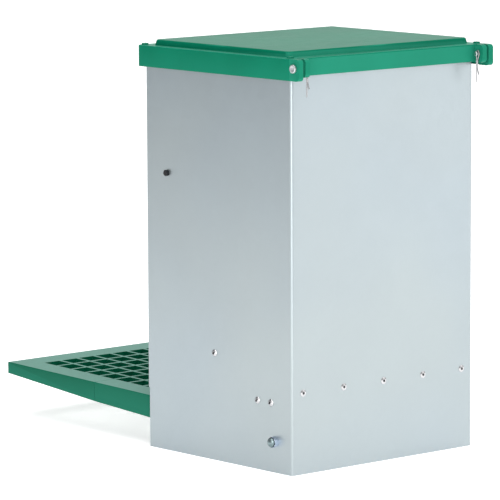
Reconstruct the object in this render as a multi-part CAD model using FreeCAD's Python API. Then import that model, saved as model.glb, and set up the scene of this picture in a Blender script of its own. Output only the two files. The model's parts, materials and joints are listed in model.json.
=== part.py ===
"""Treadle-operated gravity feeder for poultry: steel hopper housing, hinged lid, treadle and feed flap.

All lengths are in millimetres. +Z is up, the treadle points to -Y, and the left side is -X.
The shapes are drawn with their origin at the centre of the housing's footprint, on the ground. export() then
moves them along Y, so that the exported origin lies under the middle of the whole feeder.
"""
import FreeCAD
import Part
import math
import os

Vector = FreeCAD.Vector
X_AXIS, Y_AXIS, Z_AXIS = Vector(1, 0, 0), Vector(0, 1, 0), Vector(0, 0, 1)
SAME = 0.01                         # two lengths this close are the same
OVERSHOOT = 1.0                     # how far a cutting shape passes the face that it cuts
DRILL = 4.0                         # how far a hole's cutter reaches to each side of a sheet

# Steel housing
WIDTH, DEPTH = 249.4, 225.0
SHEET = 0.8
SIDE = WIDTH / 2                    # outer face of a side panel
BACK = DEPTH / 2                    # outer face of the back panel
FRONT = -DEPTH / 2                  # outer face of the front
SIDE_IN, BACK_IN = SIDE - SHEET, BACK - SHEET
HOUSING_TOP = 415.0
BEND, INNER_BEND = 3.0, 0.4         # outer bend radius of the sheet, and the least inner one
BASE_FLANGE = 11.0
JAMB_WIDTH, JAMB_BOTTOM, JAMB_DEPTH = 12.0, 62.0, 3.5
FRONT_PANEL_BOTTOM, FRONT_HEM, FRONT_HEM_INSET = 292.0, 6.0, 8.0
FEED_OPENING_HALF = SIDE - JAMB_WIDTH

# Lid, one moulding with a raised middle
LID_HALF = 133.4
LID_FRONT, LID_REAR = -115.6, 121.8
LID_BOTTOM, LID_REAR_BOTTOM = 396.6, 400.6
LEDGE_TOP, LEDGE_THICK, LEDGE_EDGE, SKIRT_THICK = 418.4, 3.0, 1.2, 2.5
LID_CORNER = 5.0
CROWN_TOP, CROWN_WALL = 424.3, 2.6
CROWN_HALF, CROWN_FRONT, CROWN_REAR = 122.6, -99.2, 106.8    # at the crown's top edge
CROWN_DRAFT, CROWN_RIM, CROWN_INNER_CORNER = 1.3, 2.2, 2.5
PAD_SIZE, PAD_HEIGHT, PAD_INSET, PAD_BURIED, PAD_EDGE = 5.0, 1.8, 7.0, 0.5, 0.4
REAR_NOTCH = BACK + 2.0             # the lid's walls behind this are shorter
LEDGE_UNDER = LEDGE_TOP - LEDGE_THICK

# Lid hinge
PIN_Y, PIN_Z, PIN_R = 126.4, 409.0, 2.4
RUN_CLEARANCE = 0.08                # between a pin and the bore that turns on it
EAR_END = 133.5
EAR_OUTER_IN = 127.3                # inner face of the ear that continues the side skirt
EAR_INNER_OUT, EAR_INNER_IN = 124.3, 118.3
EAR_INNER_BOTTOM, EAR_CORNER = 400.0, 4.0
BRACKET_THICK, BRACKET_FRONT = 1.6, 93.0
STOP_REACH, STOP_DROP = 4.8, 5.3    # the lid stop's corner, behind the pin and below it
BRACKET_NOSE = 4.9
BRACKET_RIVETS = (4.5, 12.5)        # behind the bracket's front edge
BRACKET_RIVET_HEAD_R, BRACKET_RIVET_HEAD = 3.4, 1.1
PIN_HEAD_R, PIN_HEAD_THICK, PIN_HEAD_EDGE = 4.3, 2.5, 0.7
PIN_HEAD_GAP, PIN_END, PIN_CHAMFER = 0.15, 114.6, 0.5
CLIP_X, CLIP_WIRE_R, CLIP_GAP = 116.5, 0.65, 0.1
CLIP_LEG, CLIP_LOOP_WIDTH = 29.0, 3.5
CLIP_OUTER_LEG = ((1.9, -7.0), (1.5, -15.0), (3.4, -21.0))   # (y, z) from the pin's axis

# Treadle: two plastic grids on a pair of steel arms
TREADLE_HALF, TREADLE_WALL, TREADLE_PLATE, TREADLE_EDGE = 120.0, 2.4, 2.5, 1.0
TREADLE_TIP, TREADLE_SEAM, TREADLE_END = -356.0, -206.85, -109.6
TREADLE_TOP_AT_FRONT, TREADLE_TILT = 52.4, 1.35              # height at the housing's front, degrees
SKIRT_Z_TIP, SKIRT_Z_SEAM, SKIRT_Z_END = 45.7, 34.0, 28.4
SEAM_GAP = 0.4
COLUMN_PITCH, ROW_PITCH, GRID_BAR, GRID_DEPTH = 23.6, 24.3, 4.0, 10.0
GRID_COLUMNS, FRONT_ROWS, REAR_ROWS = 8, 5, 4
BOSS_R, BOSS_LENGTH = 4.5, 16.0
PIVOT_Y, PIVOT_Z = 87.0, 31.5
ARM_OUT, ARM_THICK, ARM_HEIGHT = 116.5, 2.5, 10.0
ARM_FLANGE, ARM_FLANGE_THICK, ARM_FLANGE_START = 15.5, 2.0, 203.0
ARM_LENGTH, ARM_SLOPE, ARM_EYE_R = 411.0, 2.45, 8.0          # slope in degrees, rising to the tip
ARM_ROOM = 0.3                      # between the arm and the grids
SCREW_X, SCREW_REACHES = 107.0, (212.0, 266.0, 320.0, 394.0)
SCREW_R, SCREW_LENGTH, SCREW_BITE = 1.9, 4.4, 3.0
SCREW_HEAD_R, SCREW_HEAD, SCREW_SOCKET_R, SCREW_SOCKET = 3.6, 2.0, 1.3, 0.8
BOLT_R, BOLT_HEAD, BOLT_REACH, BOLT_CHAMFER = 3.0, 4.0, 6.5, 0.6
NUT_FLATS, NUT_THICK, NUT_BEVEL = 10.0, 5.0, 0.6
CAP_R, CAP_SHOULDER, CAP_DOME, CAP_WALL_GAP = 4.7, 1.2, 2.7, 0.3    # the nut's closed round end
PIVOT_GAP, SPACER_R = 0.3, 5.5

# Feed flap and the link rods that swing it
FLAP_Y, FLAP_Z = -78.6, 288.5
FLAP_SWING, CRANK = 22.0, 27.0                               # degrees, and the crank's radius
FLAP_BOTTOM, FLAP_TOP, FLAP_HALF, FLAP_HEM = 94.0, 290.5, 112.5, 5.0
FLAP_FACE = FRONT + SHEET + 0.4
CHEEK_FOOT, CHEEK_SHOULDER, CHEEK_DEPTH, CHEEK_NECK = 190.0, 205.0, 14.0, 7.0
LUG_R, CHEEK_BOSS_R = 4.8, 8.0
STUD_R, STUD_HEAD_R, STUD_HEAD, STUD_EDGE = 2.5, 3.2, 3.0, 0.8
STUD_SHOULDER_R, STUD_END_R, STUD_END, STUD_GAP = 4.5, 4.0, 1.5, 0.4
ROD_X, ROD_R, ROD_EYE_R, ROD_EYE_THICK = 119.0, 1.75, 4.2, 3.4
LINK_PIN_R, PIN_FLANGE_R, PIN_FLANGE, PIN_BUTTON = 2.0, 3.2, 1.0, 1.2
OPEN_PIVOT_CLEARANCE = 0.7
CRANK_Y = FLAP_Y - CRANK * math.cos(math.radians(FLAP_SWING / 2))
CRANK_Z = FLAP_Z + CRANK * math.sin(math.radians(FLAP_SWING / 2))
LINK_Y = CRANK_Y
LINK_Z = PIVOT_Z + (PIVOT_Y - LINK_Y) * math.tan(math.radians(ARM_SLOPE))

# Hopper and trough
FLOOR_BEND_Z, FLOOR_FRONT_Y, FLOOR_FRONT_Z, FLOOR_FLANGE = 94.0, -14.0, 53.2, 19.0
FLOOR_SIDE_GAP, FLOOR_FLANGE_GAP = 1.6, 4.0
BAFFLE_TOP_Z, BAFFLE_FLANGE = 372.0, 16.0
BAFFLE_KNEE = (-56.0, 302.0)
BAFFLE_FOOT = (-12.0, 100.0)
BAFFLE_SIDE_FLANGE, BAFFLE_FLANGE_DROP = 14.0, 4.0
TROUGH_FRONT, TROUGH_REAR, TROUGH_HALF = -104.8, -12.2, 115.3
TROUGH_BOTTOM, TROUGH_LIP, TROUGH_END_TOP, TROUGH_HEM = 48.5, 88.0, 98.0, 8.0
TROUGH_LEVEL, TROUGH_RISE_END = 30.0, 20.0                   # where an end wall starts and stops rising
TROUGH_SETBACK, TROUGH_FLOOR_GAP, TROUGH_TAB_GAP = 3.0, 1.4, 0.4

# Rivets and the spring brackets
BACK_RIVET_Z, BACK_RIVET_PITCH, BACK_RIVETS = 82.5, 54.9, 5
BAFFLE_RIVET = (-5.6, 110.5)
SPRING_RIVETS = ((60.4, 70.4), (80.6, 70.4))
RIVET_R, RIVET_HEAD_R, RIVET_HEAD = 2.0, 3.7, 1.5
RIVET_TAIL_R, RIVET_TAIL, RIVET_PIN_R = 2.9, 1.8, 0.9
BACK_RIVET_HEAD_R, BACK_RIVET_HEAD = 3.6, 1.1
SPRING_Y, SPRING_X = 62.0, ARM_OUT - ARM_THICK / 2
SPRING_TOP, SPRING_COIL_R, SPRING_WIRE_R, SPRING_PITCH = 63.0, 4.0, 0.6, 1.7
SPRING_PLATE_FRONT, SPRING_PLATE_REAR, SPRING_PLATE_TOP = 54.0, 88.0, 73.4
SHELF_FRONT, SHELF_REAR, SHELF_REACH = 55.0, 69.0, 5.0
SPRING_HOLE_GAP, ARM_HOLE_GAP = 0.3, 0.4
COIL_ABOVE_ARM, COIL_BELOW_SHELF = 2.5, 3.0
HOOK_BEND, HOOK_TAIL, HOOK_RISE, HOOK_END = 1.2, 3.2, 0.4, 1.4
HOOK_SWELL = 0.05                   # keeps the hooks' skin off the coil's
HOLE_CLEARANCE = 0.05

Y_SHIFT = -(TREADLE_TIP + EAR_END) / 2


def box(x0, x1, y0, y1, z0, z1):
    """A box between two corners."""
    corner = Vector(min(x0, x1), min(y0, y1), min(z0, z1))
    return Part.makeBox(abs(x1 - x0), abs(y1 - y0), abs(z1 - z0), corner)


def prism(points, x0, x1):
    """A side profile, given as (y, z) points, drawn out along X."""
    outline = [Vector(min(x0, x1), y, z) for y, z in points]
    face = Part.Face(Part.makePolygon(outline + outline[:1]))
    return face.extrude(Vector(abs(x1 - x0), 0, 0))


def rod_x(y, z, radius, x0, x1):
    """A round bar along X."""
    return Part.makeCylinder(radius, abs(x1 - x0), Vector(min(x0, x1), y, z), X_AXIS)


def fused(shapes):
    """One solid from shapes that overlap or share faces."""
    first, *rest = shapes
    return first.multiFuse(rest).removeSplitter()


def mirrored(shape):
    """The same piece on the other side of the feeder."""
    return shape.mirror(Vector(0, 0, 0), X_AXIS)


def hexagon_x(y, z, flats, x0, x1):
    """A hexagonal prism along X, with a corner pointing up."""
    corner = flats / math.sqrt(3)
    turns = [math.radians(60 * i + 30) for i in range(6)]
    return prism([(y + corner * math.sin(a), z + corner * math.cos(a)) for a in turns], x0, x1)


def chamfered_hexagon_x(y, z, flats, x0, x1):
    """A nut's or bolt head's body, with its corners turned off on both faces."""
    small, large = flats / math.sqrt(3) - NUT_BEVEL, flats / math.sqrt(3) + NUT_BEVEL
    start = Part.makeCone(small, large, NUT_BEVEL, Vector(x0, y, z), X_AXIS)
    middle = rod_x(y, z, large, x0 + NUT_BEVEL, x1 - NUT_BEVEL)
    end = Part.makeCone(large, small, NUT_BEVEL, Vector(x1 - NUT_BEVEL, y, z), X_AXIS)
    return hexagon_x(y, z, flats, x0, x1).common(fused([start, middle, end]))


def dome(radius, height, base, direction):
    """A shallow spherical cap standing on base."""
    ball = (radius ** 2 + height ** 2) / (2 * height)
    sphere = Part.makeSphere(ball, base - direction * (ball - height))
    return sphere.common(Part.makeCylinder(ball, 2 * height, base, direction))


def blind_rivet(point, direction, grip, head_r, head_h):
    """A set blind rivet: domed head with a pin hole, shank, and the swelled tail inside the sheet."""
    head = dome(head_r, head_h, point, direction)
    shank = Part.makeCylinder(RIVET_R, grip, point - direction * grip, direction)
    tail = Part.makeCylinder(RIVET_TAIL_R, RIVET_TAIL, point - direction * (grip + RIVET_TAIL), direction)
    pin_hole = Part.makeCylinder(RIVET_PIN_R, head_h, point + direction * head_h / 2, direction)
    return fused([head, shank, tail]).cut(pin_hole)


def treadle_top(y):
    """Height of the treadle's upper face at y."""
    return TREADLE_TOP_AT_FRONT + (FRONT - y) * math.tan(math.radians(TREADLE_TILT))


def along_arm(shape):
    """Moves a shape drawn with the pivot at the origin and the arm along -Y to its place."""
    shape.rotate(Vector(0, 0, 0), X_AXIS, -ARM_SLOPE)
    shape.translate(Vector(0, PIVOT_Y, PIVOT_Z))
    return shape


# ---- Housing -------------------------------------------------------------------------------------

def wrap_outline(inset, mouth):
    """Plan outline of the wrapped sheet: back, two sides and the jambs' return, inset by a distance."""
    x, y0, y1, r = SIDE - inset, FRONT + inset, BACK - inset, max(BEND - inset, INNER_BEND)
    k = r * (1 - math.sqrt(0.5))
    edges = [Part.LineSegment(Vector(x, y0 + r, 0), Vector(x, y1 - r, 0)),
             Part.Arc(Vector(x, y1 - r, 0), Vector(x - k, y1 - k, 0), Vector(x - r, y1, 0)),
             Part.LineSegment(Vector(x - r, y1, 0), Vector(-x + r, y1, 0)),
             Part.Arc(Vector(-x + r, y1, 0), Vector(-x + k, y1 - k, 0), Vector(-x, y1 - r, 0)),
             Part.LineSegment(Vector(-x, y1 - r, 0), Vector(-x, y0 + r, 0)),
             Part.Arc(Vector(-x, y0 + r, 0), Vector(-x + k, y0 + k, 0), Vector(-x + r, y0, 0)),
             Part.LineSegment(Vector(-x + r, y0, 0), Vector(x - r, y0, 0)),
             Part.Arc(Vector(x - r, y0, 0), Vector(x - k, y0 + k, 0), Vector(x, y0 + r, 0))]
    face = Part.Face(Part.Wire([edge.toShape() for edge in edges]))
    return face.extrude(Vector(0, 0, mouth))


def housing_shell():
    """The wrapped sheet: back and sides, jambs beside the feed opening, and flanges turned in at the base."""
    wall = wrap_outline(0, HOUSING_TOP).cut(wrap_outline(SHEET, HOUSING_TOP))
    jamb_front, jamb_back, beyond = FRONT - OVERSHOOT, FRONT + JAMB_DEPTH, SIDE + OVERSHOOT
    mouth = box(-FEED_OPENING_HALF, FEED_OPENING_HALF, jamb_front, jamb_back, -OVERSHOOT,
                HOUSING_TOP + OVERSHOOT)
    foot = box(-beyond, beyond, jamb_front, jamb_back, -OVERSHOOT, JAMB_BOTTOM)
    wall = wall.cut(mouth).cut(foot)
    flange = wrap_outline(SHEET / 2, SHEET)
    inner = box(-SIDE_IN + BASE_FLANGE, SIDE_IN - BASE_FLANGE, jamb_front, BACK_IN - BASE_FLANGE,
                -OVERSHOOT, SHEET + OVERSHOOT)
    shell = fused([wall, flange.cut(inner).cut(foot)])
    holes = [(place, RIVET_R) for place in (BAFFLE_RIVET, *SPRING_RIVETS)]
    holes += [((y, PIN_Z), RIVET_R) for y in bracket_rivet_ys()]
    holes += [((FLAP_Y, FLAP_Z), STUD_R), ((PIVOT_Y, PIVOT_Z), BOLT_R)]
    for (y, z), radius in holes:
        for side in (-SIDE, SIDE):
            shell = shell.cut(rod_x(y, z, radius + HOLE_CLEARANCE, side - DRILL, side + DRILL))
    return drilled_for_back_rivets(shell)


def drilled_for_back_rivets(sheet):
    """A sheet with the row of rivet holes through the back."""
    for x in back_rivet_xs():
        start = Vector(x, BACK - DRILL, BACK_RIVET_Z)
        sheet = sheet.cut(Part.makeCylinder(RIVET_R + HOLE_CLEARANCE, 2 * DRILL, start, Y_AXIS))
    return sheet


def front_panel():
    """The fixed upper front, lapped behind the jambs, with a hem folded back along its lower edge."""
    face, bottom, hem_half = FRONT + SHEET, FRONT_PANEL_BOTTOM, FLAP_HALF - FRONT_HEM_INSET
    plate = box(-SIDE_IN + BEND, SIDE_IN - BEND, face, face + SHEET, bottom, HOUSING_TOP)
    fold = box(-hem_half, hem_half, face, face + FRONT_HEM, bottom, bottom + SHEET)
    return fused([plate, fold])


def back_rivet_xs():
    """Places of the rivets across the back."""
    return [(i - (BACK_RIVETS - 1) / 2) * BACK_RIVET_PITCH for i in range(BACK_RIVETS)]


def hopper_floor():
    """The sloped floor that the feed slides down, with a flange riveted to the back panel."""
    slope = (FLOOR_BEND_Z - FLOOR_FRONT_Z) / (BACK_IN - FLOOR_FRONT_Y)
    under = SHEET * math.sqrt(1 + slope ** 2)
    half, flange_half = SIDE_IN - FLOOR_SIDE_GAP, SIDE_IN - FLOOR_FLANGE_GAP
    plate = prism([(BACK_IN, FLOOR_BEND_Z), (FLOOR_FRONT_Y, FLOOR_FRONT_Z),
                   (FLOOR_FRONT_Y, FLOOR_FRONT_Z - under), (BACK_IN, FLOOR_BEND_Z - under)], -half, half)
    flange = box(-flange_half, flange_half, BACK_IN - SHEET, BACK_IN, FLOOR_BEND_Z - FLOOR_FLANGE,
                 FLOOR_BEND_Z - under)
    return drilled_for_back_rivets(fused([plate, flange]))


def sheet_band(points, x0, x1):
    """A sheet folded along a (y, z) line, its thickness laid towards +Y."""
    inner = [(y + SHEET, z) for y, z in reversed(points)]
    return prism(list(points) + inner, x0, x1)


def hopper_baffle():
    """The cranked inner wall that keeps the feed off the flap and sets the throat above the floor."""
    face = FRONT + 2 * SHEET
    line = [(face, BAFFLE_TOP_Z + BAFFLE_FLANGE), (face, BAFFLE_TOP_Z), BAFFLE_KNEE, BAFFLE_FOOT]
    wall = sheet_band(line, -SIDE_IN + SHEET, SIDE_IN - SHEET)
    (knee_y, knee_z), (foot_y, foot_z) = BAFFLE_KNEE, BAFFLE_FOOT
    flange_top = knee_z - BAFFLE_FLANGE_DROP
    flange_line = [(knee_y, flange_top), (foot_y, foot_z), (foot_y + BAFFLE_SIDE_FLANGE, foot_z),
                   (knee_y + BAFFLE_SIDE_FLANGE, flange_top)]
    right = prism(flange_line, SIDE_IN - SHEET, SIDE_IN)
    right = right.cut(rod_x(*BAFFLE_RIVET, RIVET_R + HOLE_CLEARANCE, SIDE_IN - DRILL, SIDE_IN + DRILL))
    return fused([wall, right, mirrored(right)])


def feed_trough():
    """The open trough under the throat: bottom, front wall with a turned-in hem, end walls and tabs."""
    t = SHEET
    bottom = box(-TROUGH_HALF, TROUGH_HALF, TROUGH_FRONT, TROUGH_REAR, TROUGH_BOTTOM, TROUGH_BOTTOM + t)
    front = box(-TROUGH_HALF, TROUGH_HALF, TROUGH_FRONT, TROUGH_FRONT + t, TROUGH_BOTTOM, TROUGH_LIP)
    hem = box(-TROUGH_HALF, TROUGH_HALF, TROUGH_FRONT, TROUGH_FRONT + TROUGH_HEM, TROUGH_LIP - t, TROUGH_LIP)
    rear_top, end_rear = FLOOR_FRONT_Z - TROUGH_FLOOR_GAP, TROUGH_REAR - TROUGH_SETBACK
    rear = box(-TROUGH_HALF, TROUGH_HALF, TROUGH_REAR - t, TROUGH_REAR, TROUGH_BOTTOM, rear_top)
    outline = [(TROUGH_FRONT, TROUGH_BOTTOM), (TROUGH_FRONT, TROUGH_LIP),
               (TROUGH_FRONT + TROUGH_LEVEL, TROUGH_LIP), (TROUGH_REAR - TROUGH_RISE_END, TROUGH_END_TOP),
               (end_rear, TROUGH_END_TOP), (end_rear, TROUGH_BOTTOM)]
    end = prism(outline, TROUGH_HALF - t, TROUGH_HALF)
    tab = box(TROUGH_HALF - t, SIDE_IN - TROUGH_TAB_GAP, end_rear - t, end_rear, TROUGH_BOTTOM,
              TROUGH_END_TOP)
    return fused([bottom, front, hem, rear, end, tab, mirrored(end), mirrored(tab)])


def back_rivets():
    """The row of rivets that holds the hopper floor to the back panel."""
    grip = 2 * SHEET
    return Part.makeCompound([blind_rivet(Vector(x, BACK, BACK_RIVET_Z), Y_AXIS, grip, BACK_RIVET_HEAD_R,
                                          BACK_RIVET_HEAD) for x in back_rivet_xs()])


def side_rivets():
    """The right side's rivets: one into the baffle, two into the spring bracket."""
    baffle = blind_rivet(Vector(SIDE, *BAFFLE_RIVET), X_AXIS, 2 * SHEET, RIVET_HEAD_R, RIVET_HEAD)
    springs = [blind_rivet(Vector(SIDE, y, z), X_AXIS, SHEET + BRACKET_THICK, RIVET_HEAD_R, RIVET_HEAD)
               for y, z in SPRING_RIVETS]
    return Part.makeCompound([baffle, *springs])


# ---- Lid and its hinge ---------------------------------------------------------------------------

def edges_above(shape, z):
    """The edges that lie at a height or above it."""
    return [e for e in shape.Edges if e.BoundBox.ZMin > z - SAME]


def rounded_plan(half, front, rear, radius, z0, z1):
    """A block with rounded vertical corners."""
    block = box(-half, half, front, rear, z0, z1)
    upright = [e for e in block.Edges if abs(e.tangentAt(e.FirstParameter).z) > 0.99]
    return block.makeFillet(radius, upright)


def crown(half, front, rear, top, corner, rim_radius):
    """The raised middle: drafted walls, round corners, and a rounded top edge where a radius is given."""
    base_z = LEDGE_UNDER
    rise = top - base_z
    grow = CROWN_DRAFT * rise / (CROWN_TOP - LEDGE_TOP)
    lower = [Vector(-half - grow, front - grow, base_z), Vector(half + grow, front - grow, base_z),
             Vector(half + grow, rear + grow, base_z), Vector(-half - grow, rear + grow, base_z)]
    upper = [Vector(-half, front, top), Vector(half, front, top), Vector(half, rear, top),
             Vector(-half, rear, top)]
    foot, rim = Part.makePolygon(lower + lower[:1]), Part.makePolygon(upper + upper[:1])
    body = Part.makeLoft([foot, rim], True, True)
    steep = [e for e in body.Edges if abs(e.tangentAt(e.FirstParameter).z) > 0.5]
    body = body.makeFillet(corner, steep)
    return body.makeFillet(rim_radius, edges_above(body, top)) if rim_radius else body


def ear(x_in, x_out, bottom):
    """One hinge ear on the right rear corner, rounded at its free end."""
    plate = box(x_in, x_out, LID_REAR - SKIRT_THICK, EAR_END, bottom, LEDGE_TOP)
    free_end = [e for e in plate.Edges
                if e.BoundBox.YMin > EAR_END - SAME and e.BoundBox.XLength > SAME]
    plate = plate.makeFillet(EAR_CORNER, free_end)
    bore = rod_x(PIN_Y, PIN_Z, PIN_R + RUN_CLEARANCE, x_in - OVERSHOOT, x_out + OVERSHOOT)
    return plate.cut(bore)


def lid():
    """The lid: ledge, skirts, raised crown, corner pads and a pair of ears at each rear corner."""
    block = rounded_plan(LID_HALF, LID_FRONT, LID_REAR, LID_CORNER, LID_BOTTOM, LEDGE_TOP)
    block = block.makeFillet(LEDGE_EDGE, edges_above(block, LEDGE_TOP))
    below = LID_BOTTOM - OVERSHOOT
    inner = rounded_plan(LID_HALF - SKIRT_THICK, LID_FRONT + SKIRT_THICK, LID_REAR - SKIRT_THICK,
                         LID_CORNER - SKIRT_THICK, below, LEDGE_UNDER)
    raise_rear = box(-EAR_OUTER_IN, EAR_OUTER_IN, REAR_NOTCH, LID_REAR + OVERSHOOT, below, LID_REAR_BOTTOM)
    shell = block.cut(inner).cut(raise_rear)
    shell = fused([shell, crown(CROWN_HALF, CROWN_FRONT, CROWN_REAR, CROWN_TOP, LID_CORNER, CROWN_RIM)])
    hollow = crown(CROWN_HALF - CROWN_WALL, CROWN_FRONT + CROWN_WALL, CROWN_REAR - CROWN_WALL,
                   CROWN_TOP - CROWN_WALL, CROWN_INNER_CORNER, 0)
    shell = shell.cut(hollow)
    pads = [corner_pad(LID_FRONT + PAD_INSET), corner_pad(LID_REAR - PAD_INSET)]
    ears = [ear(EAR_OUTER_IN, LID_HALF, LID_BOTTOM), ear(EAR_INNER_IN, EAR_INNER_OUT, EAR_INNER_BOTTOM)]
    slot = box(EAR_INNER_OUT, EAR_OUTER_IN, LID_REAR - SKIRT_THICK - OVERSHOOT, LID_REAR + OVERSHOOT, below,
               LEDGE_UNDER)
    shell = shell.cut(slot).cut(mirrored(slot))
    pieces = pads + ears
    return fused([shell] + pieces + [mirrored(p) for p in pieces])


def corner_pad(y):
    """One low square pad on the ledge, near the right edge."""
    x_out = LID_HALF - PAD_INSET + PAD_SIZE - OVERSHOOT
    pad = box(x_out - PAD_SIZE, x_out, y - PAD_SIZE / 2, y + PAD_SIZE / 2, LEDGE_TOP - PAD_BURIED,
              LEDGE_TOP + PAD_HEIGHT)
    return pad.makeFillet(PAD_EDGE, edges_above(pad, LEDGE_TOP + PAD_HEIGHT))


def bracket_rivet_ys():
    """Places of the two rivets that hold a hinge bracket."""
    return [BRACKET_FRONT + reach for reach in BRACKET_RIVETS]


def hinge_bracket():
    """The right hinge bracket: a steel tab on the side panel. Its square lower corner is the lid's stop."""
    outside = SIDE + BRACKET_THICK
    tab = box(SIDE, outside, BRACKET_FRONT, PIN_Y, PIN_Z - STOP_DROP, PIN_Z + BRACKET_NOSE)
    end = rod_x(PIN_Y, PIN_Z, BRACKET_NOSE, SIDE, outside)
    stop = box(SIDE, outside, PIN_Y, PIN_Y + STOP_REACH, PIN_Z - STOP_DROP, PIN_Z)
    tab = fused([tab, end, stop])
    tab = tab.cut(rod_x(PIN_Y, PIN_Z, PIN_R + HOLE_CLEARANCE, SIDE - DRILL, SIDE + DRILL))
    for y in bracket_rivet_ys():
        tab = tab.cut(rod_x(y, PIN_Z, RIVET_R + HOLE_CLEARANCE, SIDE - DRILL, SIDE + DRILL))
    return tab


def hinge_bracket_rivets():
    """Both brackets' rivets, under the lid's skirt."""
    grip = SHEET + BRACKET_THICK
    right = [blind_rivet(Vector(SIDE + BRACKET_THICK, y, PIN_Z), X_AXIS, grip, BRACKET_RIVET_HEAD_R,
                         BRACKET_RIVET_HEAD) for y in bracket_rivet_ys()]
    return Part.makeCompound(right + [mirrored(r) for r in right])


def hinge_pin():
    """The right clevis pin: flat head outside, shank through both ears and the bracket, cross hole inside."""
    head_in = LID_HALF + PIN_HEAD_GAP
    head_out = head_in + PIN_HEAD_THICK
    head = rod_x(PIN_Y, PIN_Z, PIN_HEAD_R, head_in, head_out)
    head = head.makeFillet(PIN_HEAD_EDGE, [e for e in head.Edges if e.BoundBox.XMin > head_out - SAME])
    shank = rod_x(PIN_Y, PIN_Z, PIN_R, PIN_END, head_in)
    shank = shank.makeChamfer(PIN_CHAMFER, [e for e in shank.Edges if e.BoundBox.XMax < PIN_END + SAME])
    start = Vector(CLIP_X, PIN_Y, PIN_Z - DRILL)
    bore = Part.makeCylinder(CLIP_WIRE_R + HOLE_CLEARANCE, 2 * DRILL, start, Z_AXIS)
    return fused([head, shank]).cut(bore)


def bent_wire(points, radius):
    """A wire bent to a line of points, round at each bend and at both ends."""
    pieces = [Part.makeSphere(radius, p) for p in points]
    pieces += [Part.makeCylinder(radius, (b - a).Length, a, b - a) for a, b in zip(points, points[1:])]
    return fused(pieces)


def hinge_clip():
    """The right spring clip: a leg through the pin's cross hole, a loop over the pin, a leg outside it."""
    rise = PIN_R + CLIP_WIRE_R + CLIP_GAP
    turns = [math.radians(90 - 15 * step) for step in range(8)]
    loop = [(CLIP_LOOP_WIDTH * math.cos(a), rise * math.sin(a)) for a in turns]
    path = [(0, -CLIP_LEG), *loop, *CLIP_OUTER_LEG]
    return bent_wire([Vector(CLIP_X, PIN_Y + y, PIN_Z + z) for y, z in path], CLIP_WIRE_R)


# ---- Treadle -------------------------------------------------------------------------------------

def treadle_grid(y_tip, y_end, z_tip, z_end, rows, first_row):
    """One plastic grid: plate with deep bars, skirt all round, and bosses for its screws."""
    plate, wall = TREADLE_PLATE, TREADLE_WALL
    outer = prism([(y_tip, treadle_top(y_tip)), (y_end, treadle_top(y_end)), (y_end, z_end), (y_tip, z_tip)],
                  -TREADLE_HALF, TREADLE_HALF)
    top = edges_above(outer, treadle_top(TREADLE_END))
    rim = [e for e in top if e.BoundBox.XLength < SAME or e.BoundBox.YMax < TREADLE_TIP + SAME]
    outer = outer.makeFillet(TREADLE_EDGE, rim)
    y0, y1 = y_tip + wall, y_end - wall
    hollow = prism([(y0, treadle_top(y0) - plate), (y1, treadle_top(y1) - plate), (y1, 0), (y0, 0)],
                   -TREADLE_HALF + wall, TREADLE_HALF - wall)
    body = outer.cut(hollow).fuse(grid_slab(y_tip, y_end, rows, first_row))
    body = body.cut(grid_cells(rows, first_row))
    bosses = [boss(reach) for reach in SCREW_REACHES if y_tip < PIVOT_Y - reach < y_end]
    body = fused([body] + bosses + [mirrored(b) for b in bosses])
    room = box(ARM_OUT - ARM_FLANGE - ARM_ROOM, ARM_OUT + ARM_ROOM, -ARM_LENGTH - ARM_ROOM, 0, -PIVOT_Z,
               ARM_HEIGHT / 2)
    room = along_arm(room)
    body = body.cut(room).cut(mirrored(room))
    for reach in SCREW_REACHES:
        bore = screw_bore(reach)
        body = body.cut(bore).cut(mirrored(bore))
    return body


def grid_slab(y_tip, y_end, rows, first_row):
    """The deep slab under the plate that the cells are cut through."""
    half = (GRID_COLUMNS * COLUMN_PITCH + GRID_BAR) / 2
    margin = (ROW_PITCH + GRID_BAR) / 2
    front = max(first_row - margin, y_tip)
    back = min(first_row + (rows - 1) * ROW_PITCH + margin, y_end)
    top_front, top_back = treadle_top(front), treadle_top(back)
    return prism([(front, top_front), (back, top_back), (back, top_back - GRID_DEPTH),
                  (front, top_front - GRID_DEPTH)], -half, half)


def grid_cells(rows, first_row):
    """The nearly square holes of one grid."""
    half_x, half_y = (COLUMN_PITCH - GRID_BAR) / 2, (ROW_PITCH - GRID_BAR) / 2
    cells = []
    for column in range(GRID_COLUMNS):
        x = (column - (GRID_COLUMNS - 1) / 2) * COLUMN_PITCH
        for row in range(rows):
            y = first_row + row * ROW_PITCH
            cells.append(box(x - half_x, x + half_x, y - half_y, y + half_y, 0, 2 * TREADLE_TOP_AT_FRONT))
    return Part.makeCompound(cells)


def boss(reach):
    """A round boss under the plate that a treadle screw bites into."""
    y = PIVOT_Y - reach * math.cos(math.radians(ARM_SLOPE))
    foot = treadle_top(y) - BOSS_LENGTH - OVERSHOOT
    return Part.makeCylinder(BOSS_R, BOSS_LENGTH, Vector(SCREW_X, y, foot), Z_AXIS)


def screw_bore(reach):
    """The hole that a treadle screw takes in the arm and the boss above it."""
    foot = Vector(SCREW_X, -reach, ARM_HEIGHT / 2 - SCREW_BITE)
    return along_arm(Part.makeCylinder(SCREW_R + HOLE_CLEARANCE, 2 * SCREW_BITE, foot, Z_AXIS))


def treadle_front():
    """The outer grid, where the bird steps."""
    first, seam = TREADLE_SEAM - (FRONT_ROWS - 0.5) * ROW_PITCH, TREADLE_SEAM - SEAM_GAP / 2
    return treadle_grid(TREADLE_TIP, seam, SKIRT_Z_TIP, SKIRT_Z_SEAM, FRONT_ROWS, first)


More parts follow.
